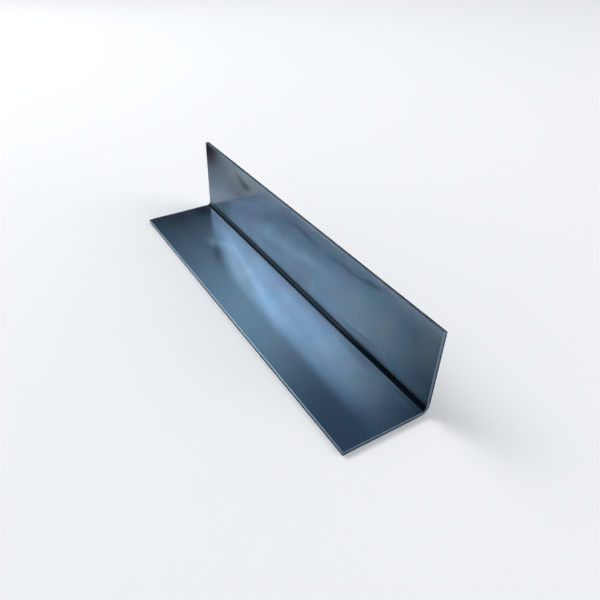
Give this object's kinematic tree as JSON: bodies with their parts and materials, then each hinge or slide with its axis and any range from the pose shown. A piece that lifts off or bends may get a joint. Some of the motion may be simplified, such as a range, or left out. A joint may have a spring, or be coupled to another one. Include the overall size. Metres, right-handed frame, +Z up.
{
  "type": "metal angle section",
  "caption": "Equal-leg steel angle folded from flat sheet, with a rounded outside corner, plain legs without holes and square sheared ends.",
  "frame": {"origin": "middle of the footprint, on the underside of the flat leg", "axes": "+X along the angle, +Z up, and +Y towards the back of the upright leg"},
  "size_m": [0.3048, 0.0636, 0.0635],
  "materials": {
    "hot_rolled_steel": "satin blue-grey mill scale"
  },
  "bodies": {
    "root": {"angle_section": "hot_rolled_steel"}
  },
  "joints": []
}
